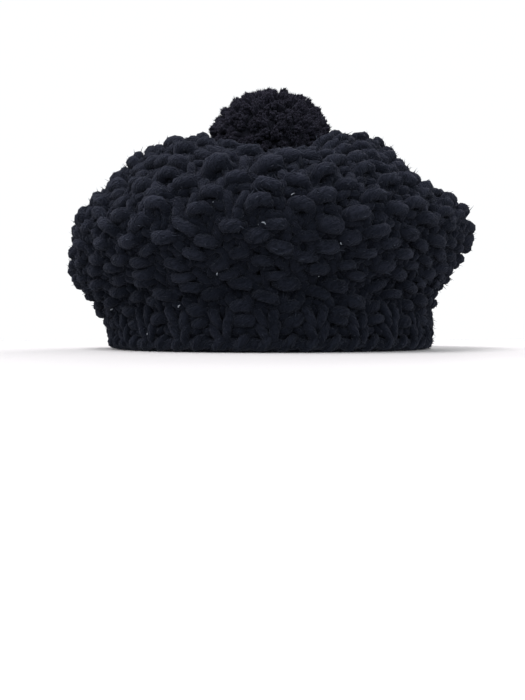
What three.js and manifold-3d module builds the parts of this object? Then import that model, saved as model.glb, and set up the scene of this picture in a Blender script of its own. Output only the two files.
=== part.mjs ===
// A chunky knitted beret with a pompom, in millimetres, +Z up. It stands on its rim, and -Y is its front.
// The crown and the band are hollow knitted walls. A tie holds the pompom in the dimple of the crown.
import * as THREE from "three";
import { ParametricGeometry } from "three/addons/geometries/ParametricGeometry.js";
import { mergeVertices } from "three/addons/utils/BufferGeometryUtils.js";
import Module from "manifold-3d";

// Driving dimensions
const WALL = 12; // knitted wall, two yarns of 6 mm
const GAP = 0.3; // clearance between neighbouring pieces
const RIBS = 28; // raised columns of the knit-one purl-one band
const RIB_SWELL = 1.6; // how far a rib stands out from the band's middle face
const EDGE_ROUND = 2.5; // rounding of the cast-on edge
const SPOKES = 8; // lines of decreases that gather the crown
const SPOKE_FURROW = 1.2; // depth of the furrow along each line
const POMPOM_RADIUS = 40;
const POMPOM_HALF_HEIGHT = 35;
const POMPOM_HEIGHT = 132; // centre of the pompom above the rim
const LOCK_COUNT = 44;
const LOCK_RADIUS = 9.5;
const LOCK_VARIATION = 0.04; // how unlike the lengths of the locks are
const HEAD_SHARE = 0.88; // the solid head of the pompom, as a share of its size
const TIE_RADIUS = 4.6; // two yarns side by side
const TIE_REACH = 18; // how far the tie goes into the pompom
const KNOT_RADIUS = 9;
const KNOT_HEIGHT = 9;
const KNOT_CLEARANCE = 1; // room for the slope of the crown's inner face above the knot

// The outer face at each section, as [radius, height] towards the wearer's four sides.
const SECTIONS = [
  { at: "rim", left: [103.5, 0], right: [103.5, 0], front: [103.5, 0], back: [103.5, 0] },
  { at: "band middle", left: [105.5, 14], right: [103, 15], front: [103, 15], back: [104, 15] },
  { at: "band top", left: [113, 29], right: [104, 32], front: [104.5, 31], back: [106, 31] },
  { at: "flare", left: [122.5, 41], right: [115, 45], front: [114, 44], back: [116, 44] },
  { at: "widest", left: [125, 54], right: [125, 67], front: [123, 61], back: [123, 60] },
  { at: "side", left: [119, 76], right: [115, 82], front: [118, 79], back: [119, 79] },
  { at: "upper side", left: [105, 95], right: [96, 97], front: [106, 93], back: [107, 97] },
  { at: "shoulder", left: [89, 114], right: [83, 114], front: [90, 105], back: [90, 114] },
  { at: "top ring", left: [68, 126], right: [67, 128], front: [66, 118], back: [67, 126] },
  { at: "inner slope", left: [46, 121], right: [46, 122], front: [46, 116], back: [46, 122] },
  { at: "dimple", left: [26, 108], right: [26, 108], front: [26, 107], back: [26, 108] },
  { at: "eye", left: [5, 103.5], right: [5, 103.5], front: [5, 103.5], back: [5, 103.5] },
];
const RIM = 0;
const BAND_TOP = 2;
const SHOULDER = 7;
const EYE = SECTIONS.length - 1;

// Dents in the outer face: centre and half width in degrees round the hat, centre and half span in sections,
// and how far the cloth goes in and down there. Azimuth 0 is the right side and 270 the front.
const FOLDS = [
  { name: "front valley", azimuth: 271, halfWidth: 40, section: 8, halfSpan: 2.4, inward: 0, drop: 14 },
  { name: "back valley", azimuth: 96, halfWidth: 34, section: 8, halfSpan: 2.4, inward: 0, drop: 6 },
  { name: "front left slouch", azimuth: 226, halfWidth: 20, section: 6, halfSpan: 2, inward: 2.5, drop: 1 },
  { name: "front right slouch", azimuth: 318, halfWidth: 18, section: 6, halfSpan: 2, inward: 2.5, drop: 1 },
  { name: "back right slouch", azimuth: 42, halfWidth: 24, section: 5.5, halfSpan: 2.4, inward: 4, drop: 2 },
  { name: "back left slouch", azimuth: 138, halfWidth: 26, section: 5.5, halfSpan: 2.4, inward: 4, drop: 2 },
];

// Mesh fineness
const BAND_COLUMNS = RIBS * 4;
const CROWN_COLUMNS = SPOKES * 10;
const BAND_ROWS = 4;
const CROWN_ROWS = 14;
const TIE_SIDES = 16;

const wool = new THREE.MeshStandardMaterial({ color: 0x16181f, roughness: 0.95, metalness: 0 });
const ribbedWool = new THREE.MeshStandardMaterial({ color: 0x14161d, roughness: 0.95, metalness: 0 });
const pompomWool = new THREE.MeshStandardMaterial({ color: 0x131219, roughness: 1, metalness: 0 });
const tieWool = new THREE.MeshStandardMaterial({ color: 0x16181f, roughness: 0.95, metalness: 0 });

const SIDES = ["left", "right", "front", "back"];
const profiles = Object.fromEntries(
  SIDES.map((side) => [side, new THREE.SplineCurve(SECTIONS.map((row) => new THREE.Vector2(...row[side])))]),
);

// Share of each side's profile in a direction: the squared cosine towards that side.
function sideShares(azimuth) {
  const c = Math.cos(azimuth);
  const s = Math.sin(azimuth);
  const square = (x) => Math.max(x, 0) ** 2;
  return { left: square(-c), right: square(c), front: square(-s), back: square(s) };
}

// A hump of height 1 that falls to 0 at one half width from its centre.
function hump(offset, halfWidth) {
  const share = THREE.MathUtils.clamp(offset / halfWidth, -1, 1);
  return Math.cos((share * Math.PI) / 2) ** 2;
}

// A point of the smooth outer face, without ribs: azimuth in radians, section as a row number of SECTIONS.
function outerFace(azimuth, section) {
  const shares = sideShares(azimuth);
  let radius = 0;
  let height = 0;
  for (const side of SIDES) {
    const point = profiles[side].getPoint(section / EYE);
    radius += shares[side] * point.x;
    height += shares[side] * point.y;
  }
  for (const fold of FOLDS) {
    const degrees = THREE.MathUtils.radToDeg(azimuth);
    const turn = THREE.MathUtils.euclideanModulo(degrees - fold.azimuth + 180, 360) - 180;
    const share = hump(turn, fold.halfWidth) * hump(section - fold.section, fold.halfSpan);
    radius -= fold.inward * share;
    height -= fold.drop * share;
  }
  return new THREE.Vector3(radius * Math.cos(azimuth), radius * Math.sin(azimuth), height);
}

// The outward direction across the wall. At the rim it is level, so that the rim's edge is flat.
function outward(azimuth, section) {
  const step = 0.01;
  const low = Math.max(section - step, RIM);
  const high = Math.min(section + step, EYE);
  const round = outerFace(azimuth + step, section).sub(outerFace(azimuth - step, section));
  const up = outerFace(azimuth, high).sub(outerFace(azimuth, low));
  const direction = round.cross(up).normalize();
  direction.z *= THREE.MathUtils.smoothstep(section, RIM, RIM + 1);
  return direction.normalize();
}

// Ribs stand out on the band and fade towards its top. Furrows follow the lines of decreases to the eye.
function swell(azimuth, section) {
  const rib = RIB_SWELL * Math.cos(RIBS * azimuth);
  const ribShare = 1 - THREE.MathUtils.smoothstep(section, BAND_TOP - 1, BAND_TOP);
  const furrow = (SPOKE_FURROW * (Math.cos(SPOKES * azimuth) - 1)) / 2;
  const furrowShare = THREE.MathUtils.smoothstep(section, SHOULDER - 0.5, SHOULDER + 1.5);
  return rib * ribShare + furrow * furrowShare;
}

// A point in the knitted wall, so deep below its outer face.
function wallPoint(azimuth, section, depth) {
  const across = swell(azimuth, section) - depth;
  return outerFace(azimuth, section).addScaledVector(outward(azimuth, section), across);
}

// The azimuth of the nearest column, where the last column is the first again.
function columnAzimuth(share, columns) {
  return ((Math.round(share * columns) % columns) / columns) * 2 * Math.PI;
}

// A closed surface round the hat's axis through a ring of stations, each a section and a depth in the wall.
function ringSolid(stations, columns) {
  const rows = stations.length;
  const place = (u, v, target) => {
    const station = stations[Math.round(v * rows) % rows];
    const azimuth = columnAzimuth(u, columns);
    target.copy(wallPoint(azimuth, station.section, station.depth));
  };
  return new ParametricGeometry(place, columns, rows);
}

// Stations up the outer face from one section to another, then down the inner face.
function wallStations(low, high, rows) {
  const sections = Array.from({ length: rows + 1 }, (_, k) => THREE.MathUtils.lerp(low, high, k / rows));
  const outer = sections.map((section) => ({ section, depth: 0 }));
  const inner = sections.toReversed().map((section) => ({ section, depth: WALL }));
  return [...outer, ...inner];
}

// How many sections a length up the side covers, just above a section.
function sectionsFor(length, section) {
  const step = 0.1;
  const covered = outerFace(0, section).distanceTo(outerFace(0, section + step));
  return (step * length) / covered;
}

function bandGeometry() {
  const edgeTop = RIM + sectionsFor(EDGE_ROUND, RIM);
  const upright = wallStations(edgeTop, BAND_TOP - sectionsFor(GAP / 2, BAND_TOP), BAND_ROWS);
  const castOnEdge = [
    { section: RIM, depth: WALL - EDGE_ROUND },
    { section: RIM, depth: EDGE_ROUND },
  ];
  return ringSolid([...upright, ...castOnEdge], BAND_COLUMNS);
}

function crownStations() {
  return wallStations(BAND_TOP + sectionsFor(GAP / 2, BAND_TOP), EYE, CROWN_ROWS);
}

function crownGeometry() {
  return ringSolid(crownStations(), CROWN_COLUMNS);
}

const wasm = await Module();
wasm.setup();

// A closed three.js geometry as a solid that can be joined and cut.
function toSolid(geometry) {
  const bare = new THREE.BufferGeometry();
  bare.setAttribute("position", geometry.getAttribute("position"));
  if (geometry.getIndex()) bare.setIndex(geometry.getIndex());
  const merged = mergeVertices(bare, 1e-3);
  const vertProperties = new Float32Array(merged.getAttribute("position").array);
  const triVerts = new Uint32Array(merged.getIndex().array);
  return new wasm.Manifold(new wasm.Mesh({ numProp: 3, vertProperties, triVerts }));
}

function toGeometry(solid) {
  const mesh = solid.getMesh();
  const geometry = new THREE.BufferGeometry();
  geometry.setAttribute("position", new THREE.BufferAttribute(mesh.vertProperties, mesh.numProp));
  geometry.setIndex(new THREE.BufferAttribute(mesh.triVerts, 1));
  geometry.computeVertexNormals();
  return geometry;
}

// One lock of yarn ends: a blunt bud that points along +Y, from inside the pompom's head to its surface.
function lockGeometry() {
  const outline = [
    [0, 0.4],
    [1, 0.8],
    [0.65, 0.95],
    [0, 1],
  ];
  const points = outline.map(([wide, far]) => new THREE.Vector2(wide * LOCK_RADIUS, far * POMPOM_RADIUS));
  return new THREE.LatheGeometry(points, 6);
}

// Even directions over a ball, on a golden-angle spiral from the top down.
function spiralDirection(index, count) {
  const golden = Math.PI * (3 - Math.sqrt(5));
  const up = 1 - (2 * index + 1) / count;
  const level = Math.sqrt(1 - up * up);
  return new THREE.Vector3(level * Math.cos(golden * index), level * Math.sin(golden * index), up);
}

// The space that the crown takes below the pompom: its outer face raised by the gap, over a flat base.
function crownBelow() {
  const top = crownStations().filter(({ section, depth }) => depth === 0 && section > SHOULDER - 1);
  const rings = top.length + 1;
  const lowest = SECTIONS[SHOULDER].front[1] - 3 * WALL;
  const place = (u, v, target) => {
    const azimuth = columnAzimuth(u, CROWN_COLUMNS);
    const ring = Math.round(v * rings);
    if (ring === 0) target.set(0, 0, lowest);
    else if (ring === rings) target.set(0, 0, SECTIONS[EYE].front[1] + GAP);
    else target.copy(wallPoint(azimuth, top[ring - 1].section, -GAP));
  };
  return toSolid(new ParametricGeometry(place, CROWN_COLUMNS, rings));
}

function pompomGeometry() {
  const flatten = POMPOM_HALF_HEIGHT / POMPOM_RADIUS;
  let solid = toSolid(new THREE.IcosahedronGeometry(POMPOM_RADIUS * HEAD_SHARE, 3));
  for (let index = 0; index < LOCK_COUNT; index += 1) {
    const direction = spiralDirection(index, LOCK_COUNT);
    const turn = new THREE.Quaternion().setFromUnitVectors(new THREE.Vector3(0, 1, 0), direction);
    const stretch = 1 + LOCK_VARIATION * Math.sin(7 * index);
    const lock = lockGeometry().scale(1, stretch, 1).applyQuaternion(turn);
    solid = solid.add(toSolid(lock));
  }
  const ball = toGeometry(solid).scale(1, 1, flatten).translate(0, 0, POMPOM_HEIGHT);
  const socketDepth = 4 * WALL;
  const socket = new THREE.CylinderGeometry(TIE_RADIUS + GAP, TIE_RADIUS + GAP, socketDepth, TIE_SIDES);
  socket.rotateX(Math.PI / 2).translate(0, 0, tieTop() + GAP - socketDepth / 2);
  return toGeometry(toSolid(ball).subtract(crownBelow()).subtract(toSolid(socket)));
}

function tieTop() {
  return SECTIONS[EYE].front[1] + TIE_REACH;
}

// The tie: a stem through the crown's eye into the pompom, with its knot under the crown.
function tieGeometry() {
  const knotTop = wallPoint(0, EYE, WALL).z - GAP - KNOT_CLEARANCE;
  const outline = [
    [0, knotTop - KNOT_HEIGHT],
    [0.6 * KNOT_RADIUS, knotTop - KNOT_HEIGHT],
    [KNOT_RADIUS, knotTop - 0.6 * KNOT_HEIGHT],
    [KNOT_RADIUS, knotTop - 0.3 * KNOT_HEIGHT],
    [0.7 * KNOT_RADIUS, knotTop],
    [TIE_RADIUS, knotTop],
    [TIE_RADIUS, tieTop()],
    [0, tieTop()],
  ];
  const points = outline.map(([radius, height]) => new THREE.Vector2(radius, height));
  return new THREE.LatheGeometry(points, TIE_SIDES).rotateX(Math.PI / 2);
}

function piece(name, geometry, material) {
  const mesh = new THREE.Mesh(geometry, material);
  mesh.name = name;
  return mesh;
}

const beret = new THREE.Group();
beret.add(
  piece("band", bandGeometry(), ribbedWool),
  piece("crown", crownGeometry(), wool),
  piece("pompom", pompomGeometry(), pompomWool),
  piece("pompom_tie", tieGeometry(), tieWool),
);

export default beret;
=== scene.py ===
"""A chunky knitted beret with a pompom, dressed loop by loop in black yarn, in a plain pale studio."""
import logging
import math
from dataclasses import dataclass, field, fields, replace
from enum import Enum
from functools import cached_property
from typing import Any

import bpy
import numpy as np
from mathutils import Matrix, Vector


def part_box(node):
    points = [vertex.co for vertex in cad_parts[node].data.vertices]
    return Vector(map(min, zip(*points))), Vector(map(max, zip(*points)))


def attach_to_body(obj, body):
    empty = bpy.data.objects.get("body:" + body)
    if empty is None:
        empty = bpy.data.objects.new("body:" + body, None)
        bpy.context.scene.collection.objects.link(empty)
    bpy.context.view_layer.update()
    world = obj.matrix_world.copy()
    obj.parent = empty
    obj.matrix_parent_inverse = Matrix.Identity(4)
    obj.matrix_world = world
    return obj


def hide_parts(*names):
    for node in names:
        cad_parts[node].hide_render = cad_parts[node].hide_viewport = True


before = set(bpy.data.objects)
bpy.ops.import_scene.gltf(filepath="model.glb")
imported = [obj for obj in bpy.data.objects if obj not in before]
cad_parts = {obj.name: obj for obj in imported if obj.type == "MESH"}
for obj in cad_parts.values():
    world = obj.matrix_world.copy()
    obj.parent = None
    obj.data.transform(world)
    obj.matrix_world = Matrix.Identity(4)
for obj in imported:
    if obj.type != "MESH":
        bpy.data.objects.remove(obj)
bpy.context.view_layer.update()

Array = np.ndarray
Pair = tuple[float, float]
Triple = tuple[float, float, float]

MM = 0.001
BODY = "root"
TURN = 2 * np.pi
GOLDEN_ANGLE = np.pi * (3 - math.sqrt(5))
SHORTEST = 1e-12
JUST_INSIDE = 1e-6
YARN_PLACE = "yarn_place"
# The attribute that sets the painted shade: yarn palest on the loops' tops and darkest in the gaps between
# loops
SHADE_CREST = "crest"
NO_QUADS = np.zeros((0, 4), int)
NO_TRIANGLES = np.zeros((0, 3), int)
LOG = logging.getLogger("beret")


class Pattern(Enum):
    """How knit and purl loops stack: by how many stitches they move over from course to course."""

    RIB = 0
    MOSS = 1


@dataclass(frozen=True)
class Section:
    """One level of the hat's outer face: (radius, height) in millimetres towards each side."""

    left: Pair
    right: Pair
    front: Pair
    back: Pair


@dataclass(frozen=True)
class Fold:
    """A dent: its centre and half width in degrees, its section and half span, and how far cloth goes."""

    azimuth: float
    half_width: float
    section: float
    half_span: float
    inward: float
    drop: float


SECTIONS = {
    "rim": Section((103.5, 0), (103.5, 0), (103.5, 0), (103.5, 0)),
    "band middle": Section((105.5, 14), (103, 15), (103, 15), (104, 15)),
    "band top": Section((113, 29), (104, 32), (104.5, 31), (106, 31)),
    "flare": Section((122.5, 41), (112, 46), (114, 44), (116, 44)),
    "widest": Section((125, 54), (125, 70), (123, 61), (123, 60)),
    "side": Section((119, 76), (115, 84), (118, 79), (119, 79)),
    "upper side": Section((105, 95), (96, 97), (106, 93), (107, 97)),
    "shoulder": Section((89, 114), (83, 114), (90, 105), (90, 114)),
    "top ring": Section((68, 126), (67, 128), (66, 118), (67, 126)),
    "inner slope": Section((46, 121), (46, 122), (46, 116), (46, 122)),
    "dimple": Section((26, 108), (26, 108), (26, 107), (26, 108)),
    "eye": Section((5, 103.5), (5, 103.5), (5, 103.5), (5, 103.5)),
}
FOLDS = {
    "front valley": Fold(271, 40, 8, 2.4, 0, 14),
    "back valley": Fold(96, 34, 8, 2.4, 0, 6),
    "front left slouch": Fold(226, 20, 6, 2, 2.5, 1),
    "front right slouch": Fold(318, 18, 6, 2, 2.5, 1),
    "front right hump": Fold(314, 26, 8, 1.8, 0, -3),
    "back right slouch": Fold(42, 24, 5.5, 2.4, 4, 2),
    "back left slouch": Fold(138, 26, 5.5, 2.4, 4, 2),
}
EYE = len(SECTIONS) - 1.0
BAND_TOP = list(SECTIONS).index("band top")


def unit(vectors: Array) -> Array:
    """Scale the vectors in the last axis to length 1."""
    return vectors / np.maximum(np.linalg.norm(vectors, axis=-1, keepdims=True), SHORTEST)


def smoothstep(values: Array, low: float, high: float) -> Array:
    """Ease from 0 at low to 1 at high: 3 t squared minus 2 t cubed."""
    t = np.clip((values - low) / (high - low), 0, 1)
    return t * t * (3 - 2 * t)


def bell(values: Array) -> Array:
    """Rise from 0 at minus 1 to 1 at 0 and fall to 0 at 1: a squared cosine."""
    return np.cos(np.clip(values, -1, 1) * np.pi / 2) ** 2


def degrees_off(azimuth: Array, centre: float) -> Array:
    """Measure azimuths in radians from a centre in degrees, as -180 to 180 degrees."""
    return (np.degrees(azimuth) - centre + 180) % 360 - 180


def lengths(paths: Array) -> Array:
    """Add up the steps along paths, shaped (paths, points, 3), from 0 at the first point of each."""
    steps = np.linalg.norm(np.diff(paths, axis=1), axis=2)
    return np.concatenate([np.zeros((len(paths), 1)), np.cumsum(steps, axis=1)], axis=1)


def circle(count: int) -> Array:
    """Divide a full turn into even angles in radians."""
    return np.arange(count) * TURN / count


def spokes_round(sides: int, first: Array, second: Array) -> Array:
    """Set vectors round a circle, cosines of the first direction and sines of the second."""
    angle = circle(sides)[:, None]
    return np.cos(angle) * first[..., None, :] + np.sin(angle) * second[..., None, :]


def keep_above(points: Array, floor: Array | float) -> None:
    """Lift the points that are lower than the floor onto it."""
    points[..., 2] = np.maximum(points[..., 2], floor)


def interp_rows(wanted: Array, known: Array, values: Array, apart: float) -> Array:
    """Interpolate in every row by itself: rows are moved apart by more than their span, and read as one."""
    shift = apart * np.arange(len(known))[:, None]
    return np.interp(wanted + shift, (known + shift).ravel(), values.ravel())


def seeded(seed: int) -> Any:
    """Give a field that starts each random generator from the same seed."""
    return field(default_factory=lambda: np.random.default_rng(seed))


def deviations(random: np.random.Generator, *shape: int) -> Array:
    """Draw normal numbers and keep them within two deviations."""
    return np.clip(random.normal(size=shape), -2, 2)


def rows_at(values: Array, at: Array) -> Array:
    """Pass a uniform Catmull-Rom curve through rows of values.

    Args:
        values: The rows, shaped (rows, width).
        at: Fractional row numbers.

    Returns:
        The curve's values, shaped as at with a last axis of the rows' width.
    """
    last = len(values) - 1
    low = np.clip(np.floor(at).astype(int), 0, last - 1)
    t = (at - low)[..., None]
    a, b, c, d = (values[np.clip(low + step, 0, last)] for step in (-1, 0, 1, 2))
    slope_b, slope_c = (c - a) / 2, (d - b) / 2
    cubic = 2 * (b - c) + slope_b + slope_c
    square = 3 * (c - b) - 2 * slope_b - slope_c
    return ((cubic * t + square) * t + slope_b) * t + b


@dataclass(frozen=True)
class HatForm:
    """The hat's outer face and the knit's middle face under it, in millimetres.

    Both are functions of the azimuth, in radians from the right side, and of the fractional section number.
    """

    yarn_depth: float = 5.6
    slope_step: float = 0.01

    def outer(self, azimuth: Array, section: Array) -> Array:
        """Blend the four side profiles by squared cosines of the azimuth, and take the folds off as bells.

        Args:
            azimuth: Radians round the hat.
            section: Section numbers, shaped as azimuth.

        Returns:
            Points of the outer face.
        """
        cosine, sine = np.cos(azimuth), np.sin(azimuth)
        towards = {"left": -cosine, "right": cosine, "front": -sine, "back": sine}
        profile = np.zeros((*azimuth.shape, 2))
        for side, share in towards.items():
            table = np.array([getattr(row, side) for row in SECTIONS.values()], float)
            profile += np.maximum(share, 0)[..., None] ** 2 * rows_at(table, section)
        for fold in FOLDS.values():
            across = bell(degrees_off(azimuth, fold.azimuth) / fold.half_width)
            along = bell((section - fold.section) / fold.half_span)
            profile -= (across * along)[..., None] * np.array([fold.inward, fold.drop])
        radius, height = profile[..., 0], profile[..., 1]
        return np.stack([radius * cosine, radius * sine, height], axis=-1)

    def outward(self, azimuth: Array, section: Array) -> Array:
        """Cross the outer face's two directions, and keep the rim's edge level.

        Args:
            azimuth: Radians round the hat.
            section: Section numbers, shaped as azimuth.

        Returns:
            Unit vectors out of the cloth.
        """
        step = self.slope_step
        low, high = np.maximum(section - step, 0), np.minimum(section + step, EYE)
        around = self.outer(azimuth + step, section) - self.outer(azimuth - step, section)
        upward = self.outer(azimuth, high) - self.outer(azimuth, low)
        direction = unit(np.cross(around, upward))
        direction[..., 2] *= smoothstep(section, 0, 1)
        return unit(direction)

    def middle(self, azimuth: Array, section: Array) -> tuple[Array, Array]:
        """Go in from the outer face by the yarn's depth, and give the unit vectors out of the cloth too."""
        normals = self.outward(azimuth, section)
        return self.outer(azimuth, section) - self.yarn_depth * normals, normals


@dataclass
class Cloth:
    """The middle face of the knit, laid out in courses at every azimuth, taller where the cloth is loose."""

    form: HatForm
    band_courses: int
    crown_courses: int
    columns: int = 360
    fineness: int = 10
    profile_points: int = 441
    share_points: int = 401
    loose_middle: float = 0.36
    loose_half_span: float = 0.28
    loose_gain: float = 0.09

    def __post_init__(self) -> None:
        """Measure the profile at each azimuth and divide it into courses.

        The band's courses are even. A crown course is as tall as one plus the slack at its share of the way
        to the eye, so the courses passed are the sum of one over that.
        """
        self.courses = self.band_courses + self.crown_courses
        self.azimuth = circle(self.columns)
        section = np.linspace(0, EYE, self.profile_points)
        grid_a, grid_s = np.meshgrid(self.azimuth, section, indexing="ij")
        arc = lengths(self.form.middle(grid_a, grid_s)[0])
        join = int(np.argmin(np.abs(section - BAND_TOP)))
        at_join, at_eye = arc[:, [join]], arc[:, [-1]]
        self.shares = np.linspace(0, 1, self.share_points)
        passed = np.cumsum(1 / (1 + self.loose_gain * self.slack(self.shares)))
        self.passed = (passed - passed[0]) / (passed[-1] - passed[0]) * self.crown_courses
        share = (arc - at_join) / (at_eye - at_join)
        in_crown = self.band_courses + np.interp(share, self.shares, self.passed)
        course = np.where(arc <= at_join, self.band_courses * arc / at_join, in_crown)
        wanted = np.linspace(0, self.courses, self.courses * self.fineness + 1)
        levels = interp_rows(wanted, course, grid_s, self.courses + 1.0)
        columns = np.broadcast_to(self.azimuth[:, None], levels.shape)
        self.points, self.normals = self.form.middle(columns, levels)

    def slack(self, share: Array) -> Array:
        """Find the slack, a bell round the crown's upper side, at shares of the way to the eye."""
        return bell((share - self.loose_middle) / self.loose_half_span)

    def looseness(self, course: Array) -> Array:
        """Find the slack at heights in courses."""
        return self.slack(np.interp(course - self.band_courses, self.passed, self.shares))

    def at(self, azimuth: Array, course: Array) -> tuple[Array, Array]:
        """Look up the middle face between the grid's points, along straight lines.

        Args:
            azimuth: Radians round the hat.
            course: Heights above the rim in courses, shaped as azimuth.

        Returns:
            Points of the middle face and the unit vectors out of it.
        """
        u = (azimuth / TURN * self.columns) % self.columns
        v = np.clip(course * self.fineness, 0, self.courses * self.fineness - JUST_INSIDE)
        left, low = np.floor(u).astype(int) % self.columns, np.floor(v).astype(int)
        right, rows = (left + 1) % self.columns, (low, low + 1)
        across, along = (u - np.floor(u))[..., None], (v - low)[..., None]

        def blend(grid: Array) -> Array:
            """Mix the four nearest grid values."""
            below, above = (grid[left, row] * (1 - across) + grid[right, row] * across for row in rows)
            return below * (1 - along) + above * along

        return blend(self.points), unit(blend(self.normals))

    def radius(self, course: float) -> float:
        """Find the middle face's mean radius at a height in courses."""
        points, _ = self.at(self.azimuth, np.full(self.columns, course))
        return float(np.hypot(points[:, 0], points[:, 1]).mean())


@dataclass
class MeshArrays:
    """A mesh in millimetres, with what its yarn's finish and fibres need at each vertex.

    A vertex has its place on the yarn, its directions out of it (spokes) and along it (runs), and its shade
    crest, which says how far it stands out of the cloth, from 0 in the gaps to 1 on the loops' tops. The
    finish paints
    shade by it: palest on the tops, darkest in the gaps.
    """

    points: Array
    quads: Array
    triangles: Array
    place: Array
    spokes: Array
    runs: Array
    crest: Array

    @staticmethod
    def joined(parts: list["MeshArrays"]) -> "MeshArrays":
        """Put several meshes into one.

        Args:
            parts: The meshes.

        Returns:
            One mesh with all their faces.
        """
        starts = np.cumsum([0] + [len(part.points) for part in parts[:-1]])
        moved = [
            replace(part, quads=part.quads + start, triangles=part.triangles + start)
            for part, start in zip(parts, starts)
        ]
        columns = [[getattr(part, column.name) for part in moved] for column in fields(MeshArrays)]
        return MeshArrays(*map(np.concatenate, columns))

    def to_object(self, name: str, material: bpy.types.Material) -> bpy.types.Object:
        """Make a smooth Blender mesh object at the origin, in metres.

        Args:
            name: The object's name.
            material: Its material.

        Returns:
            The new object, linked to the scene.
        """
        mesh = bpy.data.meshes.new(name)
        faces = [*self.quads.tolist(), *self.triangles.tolist()]
        mesh.from_pydata((self.points * MM).tolist(), [], faces, False)
        place = mesh.attributes.new(YARN_PLACE, "FLOAT_VECTOR", "POINT")
        place.data.foreach_set("vector", self.place.astype(np.float32).ravel())
        crest = mesh.attributes.new(SHADE_CREST, "FLOAT", "POINT")
        crest.data.foreach_set("value", self.crest.astype(np.float32))
        mesh.materials.append(material)
        piece = bpy.data.objects.new(name, mesh)
        bpy.context.scene.collection.objects.link(piece)
        return piece


@dataclass(frozen=True)
class Spin:
    """How a yarn is spun: its tube's sides, and the length of one turn of its twist in millimetres."""

    sides: int
    pitch: float

    def rings(self, paths: Array, tangent: Array, sideways: Array) -> tuple[Array, Array, Array]:
        """Set circles across paths, with their angles counted from sideways and turned on by the twist.

        Args:
            paths: Points, shaped (tubes, rings, 3).
            tangent: Unit vectors along the paths.
            sideways: Unit vectors across them.

        Returns:
            Spokes, shaped (tubes, rings, sides, 3), their turned angles, and the lengths along the paths.
        """
        spokes = spokes_round(self.sides, sideways, np.cross(tangent, sideways))
        along = lengths(paths)[:, :, None]
        return spokes, circle(self.sides) + TURN * along / self.pitch, along

    def quads(self, tubes: int, rings: int, closed: bool) -> Array:
        """List the faces between neighbouring rings, so that they face outwards.

        Args:
            tubes: How many tubes there are.
            rings: Rings on each tube.
            closed: Whether the last ring joins the first.

        Returns:
            Vertex numbers, shaped (faces, 4), where vertices run over tubes, then rings, then sides.
        """
        ring = np.arange(rings if closed else rings - 1)
        after = (ring + 1) % rings
        side = np.arange(self.sides)
        beside = (side + 1) % self.sides
        low, high = ring[:, None] * self.sides, after[:, None] * self.sides
        one = np.stack([low + side, low + beside, high + beside, high + side], axis=-1).reshape(-1, 4)
        return (one[None] + (np.arange(tubes) * rings * self.sides)[:, None, None]).reshape(-1, 4)


def on_yarn(radius: Array, turned: Array, along: Array) -> Array:
    """Give places on the yarn: the radius across it at the turned angle, and the length along it."""
    return np.stack([radius * np.cos(turned), radius * np.sin(turned), along + 0 * turned], axis=-1)


# Lumps of closed tubes: turns round the yarn, radians for each millimetre along it, and phase
LUMPS = ((1, 0.61, 0), (1, -0.37, 2), (2, -0.83, 1))
LUMP_DEPTH = 0.075


def closed_tube(path: Array, normals: Array, radius: Array, spin: Spin) -> MeshArrays:
    """Carry a round section along a closed path.

    Each ring is the path's point plus the radius times a circle across the tangent, counted from the side of
    the cloth. Low lumps, cosines of the turned angle and of the length, make the yarn uneven.

    Args:
        path: Points, shaped (rings, 3).
        normals: The cloth's outward direction at each point.
        radius: The yarn's radius at each point.
        spin: How the yarn is spun.

    Returns:
        The tube, whose shade crests, which set its painted shade, are heights in millimetres above the path
        along the cloth's outward direction.
    """
    tangent = unit(np.roll(path, -1, axis=0) - np.roll(path, 1, axis=0))
    sideways = unit(np.cross(normals, tangent))
    spokes, turned, along = (part[0] for part in spin.rings(path[None], tangent[None], sideways[None]))
    lumps = sum(np.cos(turns * turned + rate * along + phase) for turns, rate, phase in LUMPS)
    offset = (radius[:, None] * (1 + LUMP_DEPTH * lumps))[..., None] * spokes
    points = path[:, None] + offset
    return MeshArrays(
        points.reshape(-1, 3),
        spin.quads(1, len(path), True),
        NO_TRIANGLES,
        on_yarn(radius[:, None], turned, along).reshape(-1, 3),
        spokes.reshape(-1, 3),
        np.repeat(tangent, spin.sides, axis=0),
        ((points - path[:, None]) * normals[:, None]).sum(axis=2).reshape(-1),
    )


# Open tubes: a direction that few paths follow, the ends' bulge in radii, and the yarn between tubes in mm
ASLANT = np.array([0.31, 0.83, 0.46])
END_BULGE = 0.6
TUBE_APART = 37.0


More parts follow.
